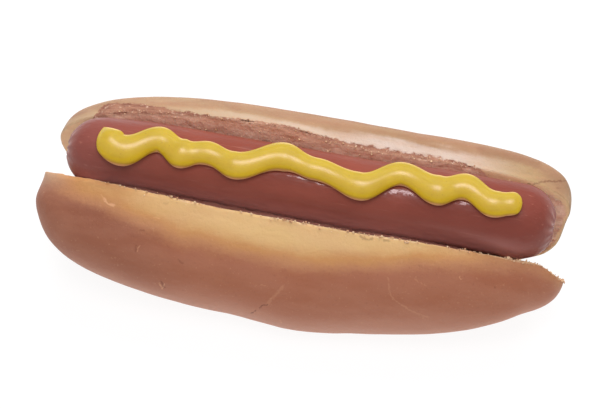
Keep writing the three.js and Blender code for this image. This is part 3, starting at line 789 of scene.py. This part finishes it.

# The torn crumb: painted darker where it lies open to the light, painted shade against the light
# that falls there, and painted dark next to the frankfurter, painted shade in the gap between them.
torn_darkened_where_lit = m.blend(streak.step(0.35, 0.65), (148, 100, 82), (178, 130, 106))
lit_crumb_darkening = (rim_mark + along_mark.fade(0.05, 0.3) * 0.5).step(-1.4, 0.5) * (1.0 - dome_mark)
torn = m.cover(
    m.blend(streak.step(0.3, 0.7), (222, 170, 144), (244, 206, 180)),
    (lit_crumb_darkening, torn_darkened_where_lit),
    (fine.step(0.56, 0.7) * 0.6, (250, 222, 196)),
    # painted shade where the dome's cut face meets the frankfurter
    (m.mark("painted_gap_shade") * 0.85, (130, 74, 66)),
)
crumb_mark = (m.mark("past_border") + (ragged - 0.5) * 3.0 - dome_mark * 0.6).step(-0.35, 0.35)
from_edge = rim_mark + (ragged - 0.5) * 1.6
cut_line = from_edge.larger(-1.0 * from_edge).fade(0.15, 0.5)

# The scars, on lines that waver a little. The light ones are flaked, rubbed or wrinkled skin; the
# dark ones are painted shade in the cracks, nicks and folds.
place = m.node("Mapping", {
    "Vector": m.node("TexCoord", output=3), "Location": tuple(-ORIGIN),
    "Scale": (MM_IN_METRE, MM_IN_METRE, MM_IN_METRE)})
waver = m.node("TexNoise", {"Vector": place, "Scale": 1.1, "Detail": 2.0}, output=1)
waver = m.vector("SCALE", m.vector("SUBTRACT", waver, (0.5, 0.5, 0.5)), scale=1.2)
place = m.vector("ADD", place, waver)
painted_crack_shade = scars(m, place, DOME, SUNKEN_SCARS) + scars(m, place, FLAT, END_CREASES)
m.feed("Base Color", m.cover(
    skin,
    (crumb_mark, torn),
    (cut_line * dome_mark * m.mark("gathers") * 0.6, (244, 214, 176)),
    (scars(m, place, DOME, RUBBED_SCARS) * 0.8, (238, 186, 142)),
    (painted_crack_shade * 0.9, (98, 40, 20)),
))
m.feed("Roughness", 0.55 + 0.3 * crumb_mark + 0.12 * fine)
grit = (fine - 0.5) * (0.4 + 0.7 * crumb_mark) + (streak - 0.5) * 0.5 * crumb_mark
m.bump(grit + (mottle - 0.5) * 0.8, 0.5)
bun.data.materials.append(m.material)
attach(bun, "root")
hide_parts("bun")

# --------------------------------
# The frankfurter: fine pink-brown meat in a smooth casing, smoked red brown. The casing is
# drawn together at each end, in a dimple with small folds round it.
SAUSAGE_STATIONS, SAUSAGE_SIDES = 420, 220
CASING_SWELL = 1.025  # heated through, it fills the groove it lies in
PUCKER_DEPTH, PUCKER_RADIUS = 0.9, 2.4
# The folds: how many and how high, between which radii, and how uneven and twisted they are.
FOLDS, FOLD_HEIGHT, FOLD_INNER, FOLD_OUTER, FOLD_FADE = 13, 0.22, 1.2, 9.0, 6.0
FOLD_UNEVEN, FOLD_START, FOLD_TWIST = 1.3, 0.6, 0.25
DENT_SIZE, DENT_HEIGHT = (18, 6, 6), 0.1
FINE_SIZE, FINE_HEIGHT = (2.6, 1.3, 1.3), 0.035
DENTS_FROM = (1, 3, 5)
TOP = 90.0  # degrees round the frankfurter, from +Y over the top to -Y
# Where the flank that faces the open side is painted paler, painted light that lifts the shade
# between the frankfurter and the bun, in degrees round it and mm along it, and where the meat is
# darker or pinker.
FLANK_START, FLANK_LENGTH, FLANK_POWER = 145.0, 46.0, 1.8
FLANK_BELOW, FLANK_RIGHT, FLANK_END = (1, 240, 60), (0.3, 30, 20), (1, 60, 12)
DARK_END, PINK_END = (1, 0, 60), (1, 35, 30)
# Where melted fat stands on the casing: along the frankfurter and round it from the top, in mm
# and degrees towards -Y, with half its length and half its height.
WET_PATCHES = [(4, 24, 8, 7), (28, 17, 7, 8), (47.5, 17, 6, 7), (-43, 17, 3, 4), (-18, -12, 4, 5)]

part = (1.0 - np.cos(np.pi * np.linspace(0.0, 1.0, SAUSAGE_STATIONS + 1))) / 2.0
station_x = (SAUSAGE_LEFT + (SAUSAGE_RIGHT - SAUSAGE_LEFT) * part)[1:-1, None]
angle = 2.0 * np.pi * np.arange(SAUSAGE_SIDES)[None] / SAUSAGE_SIDES
degrees = np.degrees(angle)
radius = CASING_SWELL * sausage_radius(station_x)
folded = ease((FOLD_OUTER - radius) / FOLD_FADE) * ease(radius / FOLD_INNER)
folds = np.cos(FOLDS * angle + FOLD_UNEVEN * np.sin(2 * angle + FOLD_START) + FOLD_TWIST * radius)
drawn_in = PUCKER_DEPTH * np.exp(-(radius / PUCKER_RADIUS) ** 2) + FOLD_HEIGHT * folded * folds
rings = np.stack([
    station_x - np.sign(station_x) * drawn_in,
    bend(station_x) + radius * np.cos(angle),
    radius * np.sin(angle),
], -1)
dents = DENT_HEIGHT * rough(rings, DENT_SIZE, seed=51, octaves=2)
dents += FINE_HEIGHT * rough(rings, FINE_SIZE, seed=57, octaves=2)
dents *= rise(radius, *DENTS_FROM)
rings = rings + outward(rings) * dents[..., None]

wet = np.zeros(rings.shape[:2])
for patch_x, patch_angle, half_span, half_height in WET_PATCHES:
    off = ((station_x - patch_x) / half_span) ** 2 + ((degrees - TOP - patch_angle) / half_height) ** 2
    wet = np.maximum(wet, np.exp(-off))
painted_flank_light = np.clip((degrees - FLANK_START) / FLANK_LENGTH, 0.0, 1.0) ** FLANK_POWER
painted_flank_light = painted_flank_light * (1.0 - rise(degrees, *FLANK_BELOW)) * (1.0 - rise(station_x, *FLANK_RIGHT))
painted_flank_light = painted_flank_light * (1.0 - rise(np.abs(station_x), *FLANK_END))
left_pole = np.array([SAUSAGE_LEFT + PUCKER_DEPTH, bend(SAUSAGE_LEFT), 0.0])
right_pole = np.array([SAUSAGE_RIGHT - PUCKER_DEPTH, bend(SAUSAGE_RIGHT), 0.0])
sausage = closed_skin("frankfurter", left_pole, rings, right_pole, {
    "pucker": folded * (0.5 + 0.5 * folds),
    "wet": wet,
    "dark_end": rise(station_x, *DARK_END),
    "pink_end": rise(-station_x, *PINK_END),
    "painted_flank_light": painted_flank_light,
})

m = Finish("smoked casing", Subsurface_Weight=0.15, Subsurface_Radius=(0.003, 0.001, 0.0006),
           Subsurface_Scale=1.0, Specular_IOR_Level=0.3, Coat_IOR=1.9, Coat_Roughness=0.09)
blotch = m.speckle(9.0, stretch=2.0, seed=2.0)
scratch = m.speckle(0.7, stretch=26.0, detail=2.0, seed=8.0)
pore = m.speckle(0.6, detail=3.0, seed=6.0)
dimple = m.speckle(1.6, stretch=1.6, detail=3.0, seed=4.0)
film = m.speckle(0.9, stretch=2.2, detail=4.0, roughness=0.7, seed=11.0)
wet_mark = m.mark("wet")
m.feed("Base Color", m.cover(
    m.blend(blotch.step(0.3, 0.7), (142, 72, 58), (154, 81, 66)),
    (m.mark("dark_end") * 0.7, (132, 66, 56)),
    (m.mark("pink_end") * 0.8, (142, 80, 72)),
    # painted light on the shaded flank towards the open side
    (m.mark("painted_flank_light") * 0.9, (240, 174, 166)),
    (scratch.step(0.64, 0.78) * 0.4, (205, 140, 120)),
    (m.mark("pucker") * 0.45, (214, 150, 132)),
))
m.feed("Roughness", 0.34 + 0.14 * pore)
beads = (wet_mark * 0.8 + (film - 0.5) * 3.0).step(0.35, 0.75)
m.feed("Coat Weight", beads * wet_mark.step(0.05, 0.4) * 0.8 + 0.03)
m.bump((pore - 0.5) * 0.1 + (scratch - 0.5) * 0.2 + dimple * 0.9, 0.14)
sausage.data.materials.append(m.material)
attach(sausage, "root")
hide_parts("sausage")

# --------------------------------
# The mustard: one bead squeezed from a round nozzle in a wave along the frankfurter's top. It
# starts in a drawn-out tip, swells at each turn and is pressed flat underneath.
BEAD_TURNS = np.array([  # x, degrees off the top, width
    (-61.2, -3.2, 8.8), (-53.9, 27.5, 8.8), (-43.7, 4.5, 7.4), (-36.5, 19, 8.4), (-29, 12, 6.7),
    (-20, 22, 7.7), (-6.5, -3, 8.5), (3.5, 7, 6.4), (17.5, 20, 7.8), (28.5, -6.9, 6.9),
    (40, 11, 8.5), (47.5, -0.8, 7.6), (56.5, 16.4, 7.4), (64.6, 9.4, 7.3),
])
BEAD_NECK, BEAD_HEIGHT_TO_WIDTH, BEAD_CENTRE_LIFT, BEAD_GAP = 0.13, 0.8, 2.0, 0.35
TIP_LENGTH, TAIL_LENGTH = 5.5, 3.75
FLOW_SPAN = 3.2  # how far on each side of a ring the bead's direction is taken from
SETTLED = 0.6  # how far its lower side has crept down the frankfurter
LOWER_SIDE = np.array([0.0, -0.9, -0.44])
BEAD_STATIONS, BEAD_SIDES, END_CROWDING = 560, 56, 0.07
# Which way the bead's parts face, from what cosine on and over what length of it they come. All
# but the gloss carry painted light: a painted highlight on the shoulder, painted shade on the
# crest and underside, and painted light where it turns under.
SHOULDER, GLOSS = ((0, 0.87, 0.5), 0.86, 0.12), ((0, -0.15, 0.99), 0.58, 0.3)
CREST = ((0, 0.45, 0.89), 0.45, 0.45)
TURNED_UNDER, UNDERSIDE = ((0, -0.82, -0.57), 0.72, 0.22), ((0, -0.82, -0.57), 0.45, 0.5)


def bead_path(samples):
    """The wave: between two turns the angle from the top and the width ease from one to the
    other, the first stretch follows a parabola, and the bead thins a little in between."""
    x = np.linspace(BEAD_TURNS[0, 0], BEAD_TURNS[-1, 0], samples + 1)
    turn = np.clip(np.searchsorted(BEAD_TURNS[:, 0], x, side="right") - 1, 0, len(BEAD_TURNS) - 2)
    start, end = BEAD_TURNS[turn], BEAD_TURNS[turn + 1]
    part = (x - start[:, 0]) / (end[:, 0] - start[:, 0])
    wave = np.where(turn == 0, 1.0 - (1.0 - part) ** 2, ease(part))
    lean_angle = np.radians(start[:, 1] + (end[:, 1] - start[:, 1]) * wave)
    neck = np.where(turn == 0, 0.0, BEAD_NECK * np.sin(np.pi * part) ** 2)
    width = (start[:, 2] + (end[:, 2] - start[:, 2]) * ease(part)) * (1.0 - neck)
    radius = sausage_radius(x) + BEAD_CENTRE_LIFT
    y = bend(x) - radius * np.sin(lean_angle)
    return np.stack([x, y, radius * np.cos(lean_angle)], -1), width


path, path_width = bead_path(OUTLINE_SAMPLES)
path_length = along_rows(path[None])[0]
whole = path_length[-1]


def on_path(distance):
    """Points of the path at distances along it."""
    return np.stack([np.interp(distance, path_length, path[:, i]) for i in range(3)], -1)


part = np.arange(1, BEAD_STATIONS) / BEAD_STATIONS
crowded = (1.0 - np.cos(np.pi * part)) / 2.0
distance = whole * ((1.0 - END_CROWDING) * part + END_CROWDING * crowded)
centre = on_path(distance)
flow = on_path(distance + FLOW_SPAN) - on_path(distance - FLOW_SPAN)
tip = np.minimum(distance / TIP_LENGTH, 1.0)
tail = np.minimum((whole - distance) / TAIL_LENGTH, 1.0)
width = np.interp(distance, path_length, path_width)
width *= np.sin(tip * np.pi / 2.0) * np.sqrt(1.0 - (1.0 - tail) ** 2)
up = unit(np.stack([0.0 * tip, centre[:, 1] - bend(centre[:, 0]), centre[:, 2]], -1))
sideways = unit(np.cross(up, flow))
angle = 2.0 * np.pi * np.arange(BEAD_SIDES)[:, None] / BEAD_SIDES
bead = np.cos(angle) * sideways[:, None] + BEAD_HEIGHT_TO_WIDTH * np.sin(angle) * up[:, None]
bead = centre[:, None] + width[:, None, None] / 2.0 * bead


def lift_off_skin(point):
    """Moves points out from the frankfurter's middle line until they clear the casing."""
    middle = bend(point[..., 0])
    distance = np.hypot(point[..., 1] - middle, point[..., 2])
    lift = np.maximum((sausage_radius(point[..., 0]) + BEAD_GAP) / distance, 1.0)
    return np.stack([point[..., 0], middle + (point[..., 1] - middle) * lift, point[..., 2] * lift], -1)


bead = bead + SETTLED * turned_to(outward(bead), LOWER_SIDE, -0.3, 1.0)[..., None] * LOWER_SIDE
bead = lift_off_skin(bead)
facing = outward(bead)
mustard = closed_skin("mustard_bead", lift_off_skin(path[0]), bead, lift_off_skin(path[-1]), {
    "painted_rim_highlight": turned_to(facing, *SHOULDER),
    "gloss": turned_to(facing, *GLOSS),
    "painted_crest_shade": turned_to(facing, *CREST),
    "painted_under_light": turned_to(facing, *TURNED_UNDER),
    "painted_underside_shade": turned_to(facing, *UNDERSIDE),
})

m = Finish("mustard", Roughness=0.45, Subsurface_Weight=0.12, Subsurface_Radius=(0.0022, 0.0014, 0.0004),
           Subsurface_Scale=1.0, Specular_IOR_Level=0.2, Coat_IOR=1.95, Coat_Roughness=0.32)
cloud = m.speckle(5.0, seed=1.0).step(0.3, 0.7)
seed_fleck = m.speckle(0.45, detail=1.0, seed=9.0)
m.feed("Base Color", m.cover(
    m.blend(cloud, (213, 176, 22), (221, 185, 30)),
    # painted shade: the crest, which faces the lamps, is painted darker
    (m.mark("painted_crest_shade"), m.blend(cloud, (197, 165, 8), (205, 173, 12))),
    # painted shade on the underside
    (m.mark("painted_underside_shade") * 0.95, (176, 126, 48)),
    # painted light where it turns under, lifting the shade at its lower edge
    (m.mark("painted_under_light") * 0.9, (236, 176, 124)),
    # painted highlight along the far shoulder
    (m.mark("painted_rim_highlight") * 0.8, (252, 214, 138)),
    (seed_fleck.step(0.72, 0.78) * 0.6, (140, 92, 30)),
))
m.feed("Coat Weight", m.mark("gloss"))
m.bump(seed_fleck - 0.5, 0.05)
mustard.data.materials.append(m.material)
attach(mustard, "root")
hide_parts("mustard")

# --------------------------------
# The crumbs: bits of the soft inside that tore loose when the bun was sliced and still cling to
# it, most of them along the cut edges. Each is a small eight-sided lump, split once and dented.
CRUMB_SEED = 7
CRUMB_CLING = 0.7  # how far its middle stands off the bun, as a part of its radius
CRUMB_STRAY = 0.12  # and how far it strays from there, in mm
SHAPE_LEAST, SHAPE_SPREAD = 0.7, 0.7  # its proportions and its corners, as parts of its radius
DENT_LEAST, DENT_SPREAD = 0.75, 0.5
CRUMB_PLACES = [
    # where on the bun, how many, smallest and largest radius in mm
    ((half > 0) & (np.abs(rim - 0.1) < 0.4) & (x_mm > -60) & (x_mm < 80), 420, 0.12, 0.34),
    ((half > 0) & (np.abs(rim - 0.7) < 0.8) & (x_mm > -56) & (x_mm < 30), 60, 0.1, 0.2),
    ((half > 0) & (np.abs(rim) < 0.9) & (x_mm > 60) & (x_mm < 82), 80, 0.12, 0.38),
    ((half < 0) & (rim < -0.4) & (rim > -9.0) & (np.abs(x_mm) < 62), 150, 0.12, 0.34),
    ((half < 0) & (np.abs(rim) < 0.8) & (x_mm > -62) & (x_mm < 50), 60, 0.1, 0.24),
]
corners = np.array([(1, 0, 0), (-1, 0, 0), (0, 1, 0), (0, -1, 0), (0, 0, 1), (0, 0, -1)], float)
sides = [(x, y, z) if (x + y + z) % 2 == 0 else (x, z, y) for x in (0, 1) for y in (2, 3) for z in (4, 5)]
edges = sorted({tuple(sorted(pair)) for a, b, c in sides for pair in ((a, b), (b, c), (c, a))})


def midway(a, b):
    """Number of the point halfway between two corners."""
    return len(corners) + edges.index(tuple(sorted((a, b))))


lump = np.concatenate([corners, [(corners[a] + corners[b]) / math.sqrt(2.0) for a, b in edges]])
lump_faces = np.array([face for a, b, c in sides for face in (
    (a, midway(a, b), midway(c, a)), (midway(a, b), b, midway(b, c)),
    (midway(c, a), midway(b, c), c), (midway(a, b), midway(b, c), midway(c, a)))])

draw = np.random.default_rng(CRUMB_SEED)
crumb_points = []
for where, count, smallest, largest in CRUMB_PLACES:
    pool = np.flatnonzero(where)
    weight = gathers.reshape(-1)[pool]
    chosen = draw.choice(pool, count, p=weight / weight.sum())
    size = (smallest + (largest - smallest) * draw.random(count) ** 2)[:, None, None]
    shape = lump * (SHAPE_LEAST + SHAPE_SPREAD * draw.random((count, 1, 3)))
    shape = shape * (DENT_LEAST + DENT_SPREAD * draw.random((count, len(lump), 1)))
    standing = normals.reshape(-1, 3)[chosen, None] * CRUMB_CLING * size
    middle = displaced.reshape(-1, 3)[chosen, None] + standing
    crumb_points.append(middle + draw.normal(0.0, CRUMB_STRAY, (count, 1, 3)) + size * shape)
crumb_points = np.concatenate(crumb_points)
crumb_count = len(crumb_points)
tone = np.repeat(draw.random(crumb_count), len(lump))
crumb_faces = (lump_faces + len(lump) * np.arange(crumb_count)[:, None, None]).reshape(-1, 3)
crumb_mesh = bpy.data.meshes.new("loose_crumbs")
placed = (crumb_points.reshape(-1, 3) + ORIGIN) / MM_IN_METRE
crumb_mesh.from_pydata(placed.tolist(), [], crumb_faces.tolist())
tone_mark = crumb_mesh.attributes.new("tone", "FLOAT", "POINT")
tone_mark.data.foreach_set("value", tone.astype(np.float32))
crumb_mesh.shade_smooth()
crumbs = add_object("loose_crumbs", crumb_mesh)

m = Finish("loose crumb", Roughness=0.8)
m.feed("Base Color", m.blend(m.mark("tone").step(0.2, 0.8), (206, 160, 122), (240, 210, 172)))
crumbs.data.materials.append(m.material)
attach(crumbs, "root")
